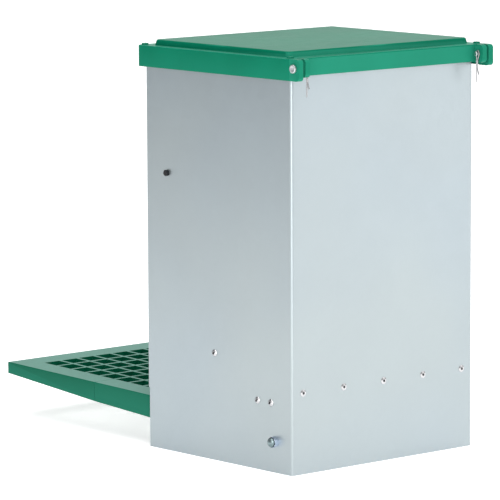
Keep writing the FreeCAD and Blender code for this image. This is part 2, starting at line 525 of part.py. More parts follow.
def treadle_rear():
    """The inner grid, which reaches just inside the housing."""
    first, seam = TREADLE_SEAM + ROW_PITCH / 2, TREADLE_SEAM + SEAM_GAP / 2
    return treadle_grid(seam, TREADLE_END, SKIRT_Z_SEAM, SKIRT_Z_END, REAR_ROWS, first)


def treadle_arm():
    """The right arm: a steel angle with an eye at the pivot and holes for the link, spring and screws."""
    x_in, half = ARM_OUT - ARM_THICK, ARM_HEIGHT / 2
    bar = box(x_in, ARM_OUT, -ARM_LENGTH, 0, -half, half)
    eye = rod_x(0, 0, ARM_EYE_R, x_in, ARM_OUT)
    flange = box(ARM_OUT - ARM_FLANGE, x_in, -ARM_LENGTH, -ARM_FLANGE_START, half - ARM_FLANGE_THICK, half)
    arm = fused([bar, eye, flange])
    link_reach = (PIVOT_Y - LINK_Y) / math.cos(math.radians(ARM_SLOPE))
    holes = [(0, BOLT_R + RUN_CLEARANCE), (-link_reach, LINK_PIN_R + HOLE_CLEARANCE),
             (SPRING_Y - PIVOT_Y, SPRING_WIRE_R + ARM_HOLE_GAP)]
    for y, radius in holes:
        arm = arm.cut(rod_x(y, 0, radius, x_in - OVERSHOOT, ARM_OUT + OVERSHOOT))
    arm = along_arm(arm)
    for reach in SCREW_REACHES:
        arm = arm.cut(screw_bore(reach))
    return arm


def treadle_screws():
    """Pan-head screws from below, through the arms' flanges into the grids."""
    under = ARM_HEIGHT / 2 - ARM_FLANGE_THICK
    screws = []
    for reach in SCREW_REACHES:
        seat = Vector(SCREW_X, -reach, under)
        shank = Part.makeCylinder(SCREW_R, SCREW_LENGTH, seat, Z_AXIS)
        head = dome(SCREW_HEAD_R, SCREW_HEAD, seat, -Z_AXIS)
        foot = seat - Z_AXIS * (2 * SCREW_HEAD - SCREW_SOCKET)
        socket = Part.makeCylinder(SCREW_SOCKET_R, SCREW_HEAD, foot, Z_AXIS)
        screws.append(along_arm(fused([shank, head]).cut(socket)))
    return Part.makeCompound(screws + [mirrored(s) for s in screws])


def pivot_bolt():
    """The right treadle pivot: a hexagon bolt, head inside."""
    head_out, tip = ARM_OUT - ARM_THICK - PIVOT_GAP, SIDE + BOLT_REACH
    head = chamfered_hexagon_x(PIVOT_Y, PIVOT_Z, NUT_FLATS, head_out - BOLT_HEAD, head_out)
    shank = rod_x(PIVOT_Y, PIVOT_Z, BOLT_R, head_out, tip)
    shank = shank.makeChamfer(BOLT_CHAMFER, [e for e in shank.Edges if e.BoundBox.XMin > tip - SAME])
    return fused([head, shank])


def pivot_nut():
    """The domed cap nut on the outside of the right pivot bolt."""
    face = SIDE + NUT_THICK
    nut = chamfered_hexagon_x(PIVOT_Y, PIVOT_Z, NUT_FLATS, SIDE, face)
    shoulder = rod_x(PIVOT_Y, PIVOT_Z, CAP_R, face - CAP_SHOULDER, face + CAP_SHOULDER)
    cap = dome(CAP_R, CAP_DOME, Vector(face + CAP_SHOULDER, PIVOT_Y, PIVOT_Z), X_AXIS)
    depth = BOLT_REACH + CAP_WALL_GAP
    thread = rod_x(PIVOT_Y, PIVOT_Z, BOLT_R + HOLE_CLEARANCE, SIDE - OVERSHOOT, SIDE + depth)
    return fused([nut, shoulder, cap]).cut(thread)


def pivot_spacer():
    """The sleeve that holds the right arm away from the side panel."""
    sleeve = rod_x(PIVOT_Y, PIVOT_Z, SPACER_R, ARM_OUT + PIVOT_GAP, SIDE_IN)
    return sleeve.cut(rod_x(PIVOT_Y, PIVOT_Z, BOLT_R + HOLE_CLEARANCE, ARM_OUT, SIDE))


# ---- Flap and links ------------------------------------------------------------------------------

def flap_cheek():
    """The right cheek of the flap, with the stud hole and the crank's lug."""
    x0, x1 = FLAP_HALF - SHEET, FLAP_HALF
    body = prism([(FLAP_FACE, CHEEK_FOOT), (FLAP_FACE, FLAP_TOP), (CRANK_Y, CRANK_Z),
                  (FLAP_Y, FLAP_Z + CHEEK_NECK), (FLAP_Y, FLAP_Z - CHEEK_NECK),
                  (FLAP_FACE + CHEEK_DEPTH, CHEEK_SHOULDER)], x0, x1)
    lug = rod_x(CRANK_Y, CRANK_Z, LUG_R, x0, x1)
    boss_plate = rod_x(FLAP_Y, FLAP_Z, CHEEK_BOSS_R, x0, x1)
    cheek = fused([body, lug, boss_plate])
    cheek = cheek.cut(rod_x(FLAP_Y, FLAP_Z, STUD_R + RUN_CLEARANCE, x0 - OVERSHOOT, x1 + OVERSHOOT))
    return cheek.cut(rod_x(CRANK_Y, CRANK_Z, LINK_PIN_R + HOLE_CLEARANCE, x0 - OVERSHOOT, x1 + OVERSHOOT))


def flap_door():
    """The flap that closes the feed opening: a plate with a lower hem and a cheek at each side."""
    plate = box(-FLAP_HALF, FLAP_HALF, FLAP_FACE, FLAP_FACE + SHEET, FLAP_BOTTOM, FLAP_TOP)
    hem = box(-FLAP_HALF, FLAP_HALF, FLAP_FACE, FLAP_FACE + FLAP_HEM, FLAP_BOTTOM, FLAP_BOTTOM + SHEET)
    cheek = flap_cheek()
    return fused([plate, hem, cheek, mirrored(cheek)])


def flap_stud():
    """The right stud that the flap swings on: black cap outside, shoulder, and journal in the cheek."""
    cap = rod_x(FLAP_Y, FLAP_Z, STUD_HEAD_R, SIDE, SIDE + STUD_HEAD)
    cap = cap.makeFillet(STUD_EDGE, [e for e in cap.Edges if e.BoundBox.XMin > SIDE + STUD_HEAD - SAME])
    shoulder = rod_x(FLAP_Y, FLAP_Z, STUD_SHOULDER_R, FLAP_HALF + STUD_GAP, SIDE_IN)
    end_face = FLAP_HALF - SHEET - STUD_GAP
    journal = rod_x(FLAP_Y, FLAP_Z, STUD_R, end_face, SIDE)
    end = rod_x(FLAP_Y, FLAP_Z, STUD_END_R, end_face - STUD_END, end_face)
    return fused([cap, shoulder, journal, end])


def pin_with_heads(y, z, plate_in, plate_out):
    """A pin riveted into a plate, standing out to carry a link rod's eye between two shoulders."""
    eye_half = ROD_EYE_THICK / 2 + PIVOT_GAP
    eye_in, eye_out = ROD_X - eye_half, ROD_X + eye_half
    button = rod_x(y, z, PIN_FLANGE_R, plate_in - PIN_BUTTON, plate_in)
    shank = rod_x(y, z, LINK_PIN_R, plate_in, eye_out + PIN_FLANGE)
    flange = rod_x(y, z, PIN_FLANGE_R, eye_out, eye_out + PIN_FLANGE)
    pieces = [button, shank, flange]
    if eye_in - plate_out > PIN_FLANGE:
        pieces.append(rod_x(y, z, PIN_FLANGE_R, plate_out, eye_in))
    return fused(pieces)


def crank_pin():
    """The right flap's crank pin, in the eye at the top of the link rod."""
    return pin_with_heads(CRANK_Y, CRANK_Z, FLAP_HALF - SHEET, FLAP_HALF)


def link_pin():
    """The pin on the right treadle arm, in the eye at the foot of the link rod."""
    return pin_with_heads(LINK_Y, LINK_Z, ARM_OUT - ARM_THICK, ARM_OUT)


def link_rod():
    """The right link rod, with a close eye at its foot and a loose eye at its top."""
    x0, x1 = ROD_X - ROD_EYE_THICK / 2, ROD_X + ROD_EYE_THICK / 2
    top_eye_r = ROD_EYE_R + OPEN_PIVOT_CLEARANCE
    rod = Part.makeCylinder(ROD_R, CRANK_Z - LINK_Z, Vector(ROD_X, LINK_Y, LINK_Z), Z_AXIS)
    foot = rod_x(LINK_Y, LINK_Z, ROD_EYE_R, x0, x1)
    top = rod_x(CRANK_Y, CRANK_Z, top_eye_r, x0, x1)
    link = fused([rod, foot, top])
    link = link.cut(rod_x(LINK_Y, LINK_Z, LINK_PIN_R + RUN_CLEARANCE, x0 - OVERSHOOT, x1 + OVERSHOOT))
    loose = LINK_PIN_R + OPEN_PIVOT_CLEARANCE
    return link.cut(rod_x(CRANK_Y, CRANK_Z, loose, x0 - OVERSHOOT, x1 + OVERSHOOT))


# ---- Return springs ------------------------------------------------------------------------------

def spring_bracket():
    """The right spring bracket: a plate riveted inside the side panel, with a shelf for the spring's hook."""
    x_in = SIDE_IN - BRACKET_THICK
    plate = box(x_in, SIDE_IN, SPRING_PLATE_FRONT, SPRING_PLATE_REAR, SPRING_TOP, SPRING_PLATE_TOP)
    shelf = box(SPRING_X - SHELF_REACH, SIDE_IN, SHELF_FRONT, SHELF_REAR, SPRING_TOP,
                SPRING_TOP + BRACKET_THICK)
    bracket = fused([plate, shelf])
    for y, z in SPRING_RIVETS:
        bracket = bracket.cut(rod_x(y, z, RIVET_R + HOLE_CLEARANCE, x_in - OVERSHOOT, SIDE_IN + OVERSHOOT))
    start = Vector(SPRING_X, SPRING_Y, SPRING_TOP - DRILL)
    return bracket.cut(Part.makeCylinder(SPRING_WIRE_R + SPRING_HOLE_GAP, 2 * DRILL, start, Z_AXIS))


def return_spring():
    """The right return spring: a close coil between two straight hooks."""
    arm_z = PIVOT_Z + (PIVOT_Y - SPRING_Y) * math.tan(math.radians(ARM_SLOPE))
    coil_bottom = arm_z + ARM_HEIGHT / 2 + COIL_ABOVE_ARM
    turns = int((SPRING_TOP - COIL_BELOW_SHELF - coil_bottom) / SPRING_PITCH)
    height = turns * SPRING_PITCH
    ring = Part.Wire(Part.makeCircle(SPRING_WIRE_R, Vector(SPRING_COIL_R, 0, 0), Y_AXIS))
    helix = Part.makeHelix(SPRING_PITCH, height, SPRING_COIL_R)
    coil = Part.Wire(helix).makePipeShell([ring], True, True)
    coil.translate(Vector(SPRING_X, SPRING_Y, coil_bottom))
    side, coil_top = SPRING_X + SPRING_COIL_R, coil_bottom + height
    hook_top, hook_x = SPRING_TOP + BRACKET_THICK + HOOK_BEND, ARM_OUT + HOOK_BEND
    upper = [(side, coil_top), (SPRING_X, coil_top + HOOK_RISE), (SPRING_X, hook_top),
             (SPRING_X + HOOK_TAIL, hook_top)]
    lower = [(side, coil_bottom), (hook_x, coil_bottom - HOOK_BEND - HOOK_RISE), (hook_x, arm_z),
             (ARM_OUT - ARM_THICK - HOOK_END, arm_z)]
    hooks = [bent_wire([Vector(x, SPRING_Y, z) for x, z in line], SPRING_WIRE_R + HOOK_SWELL)
             for line in (upper, lower)]
    return coil.multiFuse(hooks)


# ---- Export --------------------------------------------------------------------------------------

SINGLE = {
    "housing_shell": housing_shell, "front_panel": front_panel, "hopper_floor": hopper_floor,
    "hopper_baffle": hopper_baffle, "feed_trough": feed_trough, "back_rivets": back_rivets,
    "hinge_bracket_rivets": hinge_bracket_rivets, "lid": lid, "treadle_front": treadle_front,
    "treadle_rear": treadle_rear, "treadle_screws": treadle_screws, "flap_door": flap_door,
}
PAIRED = {
    "side_rivets": side_rivets, "hinge_bracket": hinge_bracket, "hinge_pin": hinge_pin,
    "hinge_clip": hinge_clip, "treadle_arm": treadle_arm, "pivot_bolt": pivot_bolt, "pivot_nut": pivot_nut,
    "pivot_spacer": pivot_spacer, "flap_stud": flap_stud, "crank_pin": crank_pin, "link_pin": link_pin,
    "link_rod": link_rod, "spring_bracket": spring_bracket, "return_spring": return_spring,
}


def export(shape, name):
    """Writes one node, moved so that the origin lies under the middle of the whole feeder."""
    shape.translate(Vector(0, Y_SHIFT, 0))
    shape.exportStep(f"parts/{name}.step")
    valid = shape.isValid() and all(s.isValid() for s in shape.Solids)
    state = "valid" if valid else "INVALID"
    print(f"{name}: {len(shape.Solids)} solid(s), {state}, {shape.Volume / 1000:.2f} cm3")


os.makedirs("parts", exist_ok=True)
for node, make in SINGLE.items():
    export(make(), node)
for node, make in PAIRED.items():
    right = make()
    left = mirrored(right)
    export(right, node + "_right")
    export(left, node + "_left")
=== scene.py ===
"""Looks of a treadle-operated poultry feeder: camera, studio, materials and fine meshes."""
import bmesh
import bpy
import json
import math
from mathutils import Matrix, Vector


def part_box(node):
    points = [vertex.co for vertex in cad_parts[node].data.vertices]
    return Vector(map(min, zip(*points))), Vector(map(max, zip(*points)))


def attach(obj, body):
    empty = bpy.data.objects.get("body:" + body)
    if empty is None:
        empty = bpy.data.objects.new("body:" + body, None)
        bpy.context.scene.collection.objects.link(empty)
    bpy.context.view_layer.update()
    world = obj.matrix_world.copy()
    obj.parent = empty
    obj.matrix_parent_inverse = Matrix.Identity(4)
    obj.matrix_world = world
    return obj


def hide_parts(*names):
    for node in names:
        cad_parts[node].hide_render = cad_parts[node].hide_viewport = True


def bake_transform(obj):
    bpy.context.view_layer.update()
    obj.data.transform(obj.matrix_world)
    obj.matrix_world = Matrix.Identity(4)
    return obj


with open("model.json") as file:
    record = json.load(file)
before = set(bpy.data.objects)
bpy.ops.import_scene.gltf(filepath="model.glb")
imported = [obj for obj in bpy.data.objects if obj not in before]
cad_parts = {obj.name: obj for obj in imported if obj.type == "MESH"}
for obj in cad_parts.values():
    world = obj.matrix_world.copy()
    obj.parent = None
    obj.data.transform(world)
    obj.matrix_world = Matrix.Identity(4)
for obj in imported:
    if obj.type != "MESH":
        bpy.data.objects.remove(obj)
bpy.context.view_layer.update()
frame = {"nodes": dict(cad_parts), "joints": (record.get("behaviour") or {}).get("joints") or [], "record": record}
NODES = frame["nodes"]
JOINTS = {joint["name"]: joint for joint in frame["joints"]}
SIDES = {"right": 1, "left": -1}
MM = 0.001


# ---- Camera ----------------------------------------------------------------------------------------

AZIMUTH, ELEVATION, ROLL = 138.89, 7.80, -0.241      # degrees
LENS, SENSOR = 281.95, 36.0                          # mm
CAMERA_PLACE = Vector((2.680, 3.08925, 0.754))
NEAREST, FARTHEST = 0.1, 100.0


def make_camera():
    """A long lens behind the feeder's right rear corner, a little above it."""
    a, e, r = (math.radians(v) for v in (AZIMUTH, ELEVATION, ROLL))
    back = Vector((math.sin(a) * math.cos(e), -math.cos(a) * math.cos(e), math.sin(e)))
    right = (-back).cross(Vector((0, 0, 1))).normalized()
    up = back.cross(right)
    turned_right = right * math.cos(r) + up * math.sin(r)
    turned_up = up * math.cos(r) - right * math.sin(r)
    data = bpy.data.cameras.new("camera")
    data.lens, data.sensor_width = LENS, SENSOR
    data.clip_start, data.clip_end = NEAREST, FARTHEST
    camera = bpy.data.objects.new("camera", data)
    turn = Matrix((turned_right, turned_up, back)).transposed().to_4x4()
    camera.matrix_world = Matrix.Translation(CAMERA_PLACE) @ turn
    bpy.context.scene.collection.objects.link(camera)
    bpy.context.scene.camera = camera


# ---- Node helpers ----------------------------------------------------------------------------------

class Nodes:
    """Short ways to add and join shader nodes in one material or world."""

    def __init__(self, tree):
        self.tree = tree

    def add(self, kind, inputs=None, **settings):
        node = self.tree.nodes.new(kind)
        for key, value in settings.items():
            setattr(node, key, value)
        for key, value in (inputs or {}).items():
            if isinstance(value, bpy.types.NodeSocket):
                self.tree.links.new(value, node.inputs[key])
            else:
                node.inputs[key].default_value = value
        return node

    def noise(self, vector, scale, detail=2.0, roughness=0.5, distortion=0.0):
        inputs = {"Vector": vector, "Scale": scale, "Detail": detail, "Roughness": roughness,
                  "Distortion": distortion}
        return self.add("ShaderNodeTexNoise", inputs).outputs["Fac"]

    def span(self, value, low, high, to_low=0.0, to_high=1.0, kind="LINEAR"):
        """Maps low..high to to_low..to_high and holds the ends."""
        inputs = {"Value": value, "From Min": low, "From Max": high, "To Min": to_low, "To Max": to_high}
        return self.add("ShaderNodeMapRange", inputs, interpolation_type=kind).outputs["Result"]

    def spread(self, noise, to_low=0.0, to_high=1.0):
        """Stretches the range that a noise mostly keeps to."""
        return self.span(noise, 0.3, 0.7, to_low, to_high)

    def math(self, operation, a, b=0.0):
        return self.add("ShaderNodeMath", {0: a, 1: b}, operation=operation).outputs[0]

    def along(self, vector, direction):
        node = self.add("ShaderNodeVectorMath", {0: vector, 1: direction}, operation="DOT_PRODUCT")
        return node.outputs["Value"]

    def mix(self, factor, a, b):
        node = self.add("ShaderNodeMix", data_type="RGBA")
        for socket, value in ((node.inputs[0], factor), (node.inputs[6], a), (node.inputs[7], b)):
            if isinstance(value, bpy.types.NodeSocket):
                self.tree.links.new(value, socket)
            else:
                socket.default_value = value if isinstance(value, (int, float)) else (*value[:3], 1)
        return node.outputs[2]

    def bump(self, height, strength, distance):
        inputs = {"Height": height, "Strength": strength, "Distance": distance}
        return self.add("ShaderNodeBump", inputs).outputs["Normal"]


def material(name):
    """A new material with a node helper, its principled shader and the object coordinates."""
    made = bpy.data.materials.new(name)
    made.use_nodes = True
    n = Nodes(made.node_tree)
    shader = made.node_tree.nodes["Principled BSDF"]
    place = n.add("ShaderNodeTexCoord").outputs["Object"]
    return made, n, shader, place


def scaled(n, place, x, y, z):
    return n.add("ShaderNodeMapping", {"Vector": place, "Scale": (x, y, z)}).outputs["Vector"]


def plug(n, shader, name, value):
    """Joins a socket to the shader, or sets a plain value on it."""
    if isinstance(value, bpy.types.NodeSocket):
        n.tree.links.new(value, shader.inputs[name])
    else:
        shader.inputs[name].default_value = value


def edge_highlight_mask(n, reach):
    """1 on sharp outer edges, 0 on flat faces; it masks the painted edge highlight."""
    flat = 0.51
    pointiness = n.add("ShaderNodeNewGeometry").outputs["Pointiness"]
    return n.span(pointiness, flat, flat + reach)


# ---- Materials -------------------------------------------------------------------------------------
# Texture scales are in features per metre, and colours are linear.

ZINC_DARK_BLUE, ZINC_DARK_GREY = (0.358, 0.408, 0.436), (0.368, 0.412, 0.426)
ZINC_PALE_BLUE, ZINC_PALE_GREY = (0.390, 0.446, 0.472), (0.400, 0.450, 0.462)
# Painted highlight green for sharp edges, and a pale green for upward faces that is partly dust and partly painted
# sheen.
EDGE_HIGHLIGHT_GREEN, DUST_AND_SHEEN_GREEN = (0.045, 0.36, 0.25), (0.31, 0.62, 0.545)
CAP_BLACK, CAP_DUST = (0.002, 0.003, 0.005), (0.010, 0.012, 0.016)
FLOOR_GLOW = 0.50


def galvanised_steel():
    """Zinc-coated sheet: pale bluish grey, fine spangle, faint rolling lines and soft clouds."""
    made, n, shader, place = material("galvanised_sheet")
    flakes = n.add("ShaderNodeTexVoronoi", {"Vector": place, "Scale": 110.0, "Randomness": 1.0})
    spangle = n.add("ShaderNodeSeparateColor", {"Color": flakes.outputs["Color"]}).outputs[0]
    cloud = n.noise(place, scale=7.0, detail=4.0, roughness=0.55)
    mottle = n.noise(place, scale=420.0, detail=3.0, roughness=0.6)
    rolled = n.noise(scaled(n, place, 700, 700, 12), scale=1.0)
    tone = n.math("ADD", n.spread(cloud, 0.1, 0.6), n.span(spangle, 0, 1, to_high=0.3))
    tint = n.span(n.noise(place, scale=4.0), 0.35, 0.65)
    dark = n.mix(tint, ZINC_DARK_BLUE, ZINC_DARK_GREY)
    pale = n.mix(tint, ZINC_PALE_BLUE, ZINC_PALE_GREY)
    plug(n, shader, "Base Color", n.mix(tone, dark, pale))
    rough = n.math("ADD", n.span(spangle, 0, 1, 0.36, 0.41), n.spread(mottle, -0.02, 0.02))
    plug(n, shader, "Roughness", rough)
    plug(n, shader, "Metallic", 0.92)
    height = n.math("ADD", n.math("MULTIPLY", rolled, 0.5), n.math("MULTIPLY", mottle, 0.5))
    plug(n, shader, "Normal", n.bump(height, strength=0.07, distance=0.2 * MM))
    return made


def green_plastic(name, dark, light, dust_and_sheen_amount):
    """Moulded green plastic: fine grain, slight flow variation, painted highlights on sharp edges, and a pale film
    on upward faces that is partly dust and partly painted sheen.
    """
    made, n, shader, place = material(name)
    flow = n.noise(place, scale=12.0, detail=3.0, roughness=0.55, distortion=0.6)
    grain = n.noise(place, scale=2600.0, roughness=0.6)
    scuff = n.noise(scaled(n, place, 60, 240, 60), scale=1.0, detail=6.0, roughness=0.7, distortion=0.4)
    clean = n.mix(n.spread(flow), dark, light)
    # Painted highlight: sharp edges are mixed 30 % towards a lighter green.
    painted_edge_highlight = n.math("MULTIPLY", edge_highlight_mask(n, reach=0.05), 0.30)
    colour = n.mix(painted_edge_highlight, clean, EDGE_HIGHLIGHT_GREEN)
    # Upward faces turn towards a pale green: partly dust, partly painted sheen.
    upward = n.span(n.along(n.add("ShaderNodeNewGeometry").outputs["Normal"], (0, 0, 1)), 0.8, 1.0)
    dust_and_sheen_mask = n.math("MULTIPLY", upward, n.spread(scuff, dust_and_sheen_amount * 0.8, dust_and_sheen_amount * 1.2))
    plug(n, shader, "Base Color", n.mix(dust_and_sheen_mask, colour, DUST_AND_SHEEN_GREEN))
    rough = n.math("ADD", n.span(scuff, 0.35, 0.75, 0.29, 0.37), n.spread(grain, -0.02, 0.02))
    plug(n, shader, "Roughness", rough)
    plug(n, shader, "Normal", n.bump(grain, strength=0.12, distance=0.08 * MM))
    plug(n, shader, "Specular IOR Level", 0.03)
    return made


def plated_steel(name, low, high, rough):
    """Turned or stamped hardware, with a fine turning grain and duller pits."""
    made, n, shader, place = material(name)
    cloud = n.noise(place, scale=160.0, detail=3.0, roughness=0.6)
    grain = n.noise(scaled(n, place, 260, 2600, 2600), scale=1.0, roughness=0.6)
    pit = n.noise(place, scale=1500.0, roughness=0.7)
    plug(n, shader, "Base Color", n.mix(n.spread(cloud), low, high))
    plug(n, shader, "Metallic", 1.0)
    dull = n.math("ADD", n.spread(grain, rough - 0.05, rough + 0.06), n.span(pit, 0.4, 0.8, to_high=0.05))
    plug(n, shader, "Roughness", dull)
    plug(n, shader, "Normal", n.bump(grain, strength=0.12, distance=0.1 * MM))
    return made


def black_cap_plastic():
    """Black moulded cap with a fine grain and a little dust."""
    made, n, shader, place = material("black_cap")
    grain = n.noise(place, scale=1800.0, roughness=0.6)
    dust = n.span(n.noise(place, scale=300.0, detail=4.0, roughness=0.6), 0.45, 0.8, to_high=0.5)
    plug(n, shader, "Base Color", n.mix(dust, CAP_BLACK, CAP_DUST))
    plug(n, shader, "Specular IOR Level", 0.3)
    plug(n, shader, "Roughness", n.spread(grain, 0.20, 0.30))
    plug(n, shader, "Normal", n.bump(grain, strength=0.2, distance=0.1 * MM))
    return made


def paper(name, fibres, dark, light, rough):
    """A matt, even surface for the floor and the card."""
    made, n, shader, place = material(name)
    colour = n.mix(n.spread(n.noise(place, *fibres)), dark, light)
    plug(n, shader, "Base Color", colour)
    plug(n, shader, "Roughness", rough)
    plug(n, shader, "Specular IOR Level", 0.0)
    return made, n, shader


def studio_floor():
    """A pale table, lit a little from below."""
    made, n, shader = paper("studio_floor", (300.0, 3.0, 0.6), (0.92, 0.92, 0.92), (0.94, 0.94, 0.94), 0.9)
    plug(n, shader, "Emission Color", (1, 1, 1, 1))
    plug(n, shader, "Emission Strength", FLOOR_GLOW)
    return made


MATERIALS = {
    "galvanised_steel": galvanised_steel(),
    "green_plastic": green_plastic("moulded_green", (0.0006, 0.136, 0.074), (0.0012, 0.157, 0.087), 0.06),
    "zinc_hardware": plated_steel("bright_zinc", (0.54, 0.57, 0.58), (0.66, 0.69, 0.70), 0.16),
    "nut_plating": plated_steel("blue_zinc", (0.58, 0.66, 0.82), (0.72, 0.79, 0.92), 0.20),
    "rivet_metal": plated_steel("rivet_alloy", (0.48, 0.48, 0.49), (0.60, 0.60, 0.61), 0.13),
    "spring_wire": plated_steel("spring_wire", (0.28, 0.28, 0.29), (0.38, 0.38, 0.38), 0.16),
    "black_plastic": black_cap_plastic(),
}
# Painted shade: the treadle takes a darker copy of the lid's green, with a thick top film that is partly dust and
# partly painted sheen.
TREAD_GREEN_SHADED = green_plastic("treadle_green_painted_shade", (0.0006, 0.066, 0.032), (0.0012, 0.078, 0.039), 0.32)
# Painted shade: the cap nut's dome is a much darker copy of its zinc, for dark reflections round its highlight.
DOME_ZINC_SHADED = plated_steel("cap_dome_painted_shade", (0.12, 0.17, 0.18), (0.26, 0.33, 0.34), 0.26)
SATIN_ZINC = plated_steel("satin_zinc", (0.50, 0.53, 0.54), (0.62, 0.65, 0.66), 0.34)
# The rivets' broken steel mandrels, darkened almost to black as painted shade in their bores.
MANDREL_SHADE = plated_steel("mandrel_steel_painted_shade", (0.04, 0.04, 0.045), (0.10, 0.10, 0.105), 0.45)


def dress(obj, slot, *more, finish=None):
    """Gives a piece the material of its slot, or another finish for it, and any further ones."""
    if obj.data.materials:                  # clearing an empty list would reset the faces' material numbers
        obj.data.materials.clear()
    for made in (finish or MATERIALS[slot], *more):
        obj.data.materials.append(made)


def slot_of(node):
    return next(part["material_slot"] for part in frame["record"]["subparts"] if part["node"] == node)


def body_of(node):
    return next(b for b, members in frame["record"]["behaviour"]["bodies"].items() if node in members)


# ---- Mesh helpers ----------------------------------------------------------------------------------

SAME_POINT = 0.001 * MM


def piece_from(bm, name, crease=32.0):
    """A new object from a bmesh: smooth faces, with edges sharper than the crease angle kept sharp."""
    bmesh.ops.recalc_face_normals(bm, faces=bm.faces)
    for face in bm.faces:
        face.smooth = True
    for edge in bm.edges:
        edge.smooth = len(edge.link_faces) == 2 and edge.calc_face_angle(0.0) < math.radians(crease)
    mesh = bpy.data.meshes.new(name)
    bm.to_mesh(mesh)
    bm.free()
    obj = bpy.data.objects.new(name, mesh)
    bpy.context.scene.collection.objects.link(obj)
    return obj


def stand_in(obj, node):
    """Lets a finer mesh stand for a CAD node and move with its body."""
    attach(obj, body_of(node))
    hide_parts(node)


def copy_of(node):
    """A node's mesh as a bmesh with its points joined."""
    bm = bmesh.new()
    bm.from_mesh(NODES[node].data)
    bmesh.ops.remove_doubles(bm, verts=bm.verts, dist=SAME_POINT)
    return bm


def solids_of(node):
    """Boxes of the separate solids in one node, as (lowest, highest) corners, sorted along Z, Y and X."""
    bm = copy_of(node)
    waiting, boxes = set(bm.verts), []
    while waiting:
        stack, group = [waiting.pop()], []
        while stack:
            vert = stack.pop()
            group.append(vert.co.copy())
            near = {edge.other_vert(vert) for edge in vert.link_edges} & waiting
            waiting -= near
            stack += near
        boxes.append((Vector([min(c[i] for c in group) for i in range(3)]),
                      Vector([max(c[i] for c in group) for i in range(3)])))
    bm.free()
    return sorted(boxes, key=lambda box: tuple(round(v, 5) for v in reversed(box[0])))


def turned(bm, profile, foot, axis, segments, face_material=lambda index: 0):
    """Turns a profile of (radius, height) points about an axis. Points with no radius close an end."""
    axis = Vector(axis).normalized()
    across = axis.orthogonal().normalized()
    third = axis.cross(across)
    angles = [2 * math.pi * i / segments for i in range(segments)]
    rings = []
    for radius, height in profile:
        centre = Vector(foot) + axis * height
        if radius == 0:
            rings.append([bm.verts.new(centre)])
            continue
        rings.append([bm.verts.new(centre + (across * math.cos(a) + third * math.sin(a)) * radius)
                      for a in angles])
    for index, (low, high) in enumerate(zip(rings, rings[1:])):
        for i in range(segments):
            j = (i + 1) % segments
            corners = [low[i % len(low)], low[j % len(low)], high[j % len(high)], high[i % len(high)]]
            face = bm.faces.new(list(dict.fromkeys(corners)))
            face.material_index = face_material(index)


def join_rings(bm, rings):
    """Faces between neighbouring rings with the same number of points."""
    for low, high in zip(rings, rings[1:]):
        for i in range(len(low)):
            j = (i + 1) % len(low)
            bm.faces.new((low[i], low[j], high[j], high[i]))


def arc(centre, radius, start, stop, steps):
    """Points of a circular arc in a profile, angles in degrees."""
    angles = [math.radians(start + (stop - start) * i / steps) for i in range(steps + 1)]
    return [(centre[0] + radius * math.cos(a), centre[1] + radius * math.sin(a)) for a in angles]


def smooth_path(points, steps=6):
    """A Catmull-Rom line through given points."""
    ends = [2 * points[0] - points[1], *points, 2 * points[-1] - points[-2]]
    path = []
    for a, b, c, d in zip(ends, ends[1:], ends[2:], ends[3:]):
        for i in range(steps):
            t = i / steps
            path.append(0.5 * (2 * b + (c - a) * t + (2 * a - 5 * b + 4 * c - d) * t ** 2
                               + (3 * b - a - 3 * c + d) * t ** 3))
    return path + [points[-1]]


def wire(bm, path, radius, segments=14, cap_steps=4):
    """A round wire along a path, with rounded ends."""
    heading = (path[1] - path[0]).normalized()
    across = heading.orthogonal().normalized()
    stations = []
    for i, point in enumerate(path):
        new_heading = (path[min(i + 1, len(path) - 1)] - path[max(i - 1, 0)]).normalized()
        across = (heading.rotation_difference(new_heading) @ across).normalized()
        heading = new_heading
        stations.append((point, heading, across, radius))
    for end, outward in ((0, -1), (-1, 1)):
        point, heading, across, _ = stations[end]
        cap = []
        for step in range(1, cap_steps):
            turn = math.radians(90 * step / cap_steps)
            reach = heading * outward * radius * math.sin(turn)
            cap.append((point + reach, heading, across, radius * math.cos(turn)))
        stations = cap[::-1] + stations if outward < 0 else stations + cap
    angles = [2 * math.pi * k / segments for k in range(segments)]
    rings = []
    for point, heading, across, size in stations:
        third = heading.cross(across)
        rings.append([bm.verts.new(point + (across * math.cos(a) + third * math.sin(a)) * size)
                      for a in angles])
    join_rings(bm, rings)
    for ring in (rings[0], rings[-1]):
        tip = bm.verts.new(sum((v.co for v in ring), Vector()) / segments)
        for i in range(segments):
            bm.faces.new((ring[i], ring[(i + 1) % segments], tip))


# ---- Moulded pieces --------------------------------------------------------------------------------

LID_ROUNDING, TREAD_ROUNDING = 0.8 * MM, 0.4 * MM
FLAT_ANGLE, SHARP_ANGLE = 0.4, 30.0                  # degrees between two faces
ROUNDING_STEPS = 2


def softened(node, name, width, finish=None):
    """A copy of a node with its sharp edges rounded, as moulding leaves them."""
    bm = copy_of(node)
    bmesh.ops.dissolve_limit(bm, angle_limit=math.radians(FLAT_ANGLE), verts=bm.verts, edges=bm.edges)
    sharp_turn = math.radians(SHARP_ANGLE)
    sharp = [e for e in bm.edges if len(e.link_faces) == 2 and e.calc_face_angle(0.0) > sharp_turn]
    bmesh.ops.bevel(bm, geom=sharp, offset=width, offset_type="OFFSET", segments=ROUNDING_STEPS,
                    profile=0.5, affect="EDGES", clamp_overlap=True)
    piece = piece_from(bm, name, crease=50.0)
    weighted = piece.modifiers.new("even_normals", "WEIGHTED_NORMAL")
    weighted.keep_sharp = True
    dress(piece, slot_of(node), finish=finish)
    stand_in(piece, node)


def moulded_pieces():
    softened("lid", "lid_moulding", LID_ROUNDING)
    for end in ("front", "rear"):
        softened(f"treadle_{end}", f"treadle_{end}_moulding", TREAD_ROUNDING, TREAD_GREEN_SHADED)


# ---- Rivets ----------------------------------------------------------------------------------------

